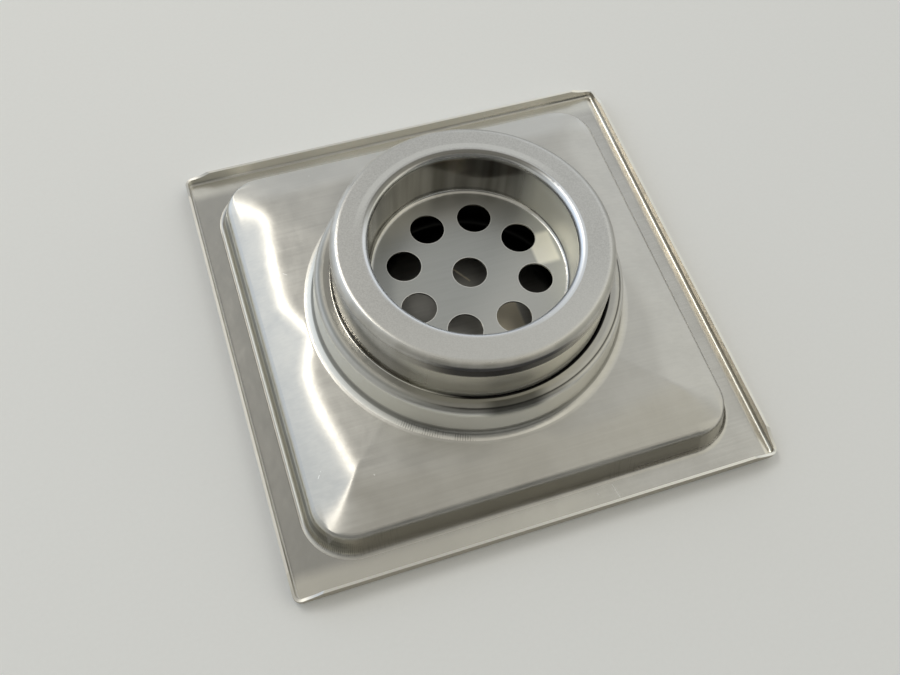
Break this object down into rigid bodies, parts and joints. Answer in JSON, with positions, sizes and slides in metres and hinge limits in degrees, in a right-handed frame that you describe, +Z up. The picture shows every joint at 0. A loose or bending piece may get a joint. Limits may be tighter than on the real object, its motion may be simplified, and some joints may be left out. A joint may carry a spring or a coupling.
{
  "type": "floor drain",
  "caption": "Square pressed-steel floor drain lying face down: folded rim, sloping pan, round outlet neck with a recessed strainer, and a slotted grating with a water-seal bell.",
  "frame": {"origin": "centre of the square floor face, on the plane that the drain lies on", "axes": "+Z up along the outlet, away from the floor face; X and Y along the sides of the square"},
  "size_m": [0.15, 0.15, 0.0433],
  "materials": {
    "body_steel": "satin",
    "cup_steel": "satin",
    "grating_steel": "satin",
    "bell_steel": "satin"
  },
  "bodies": {
    "root": {"drain_body": "body_steel", "trap_cup": "cup_steel", "grating": "grating_steel", "bell": "bell_steel"}
  },
  "joints": []
}
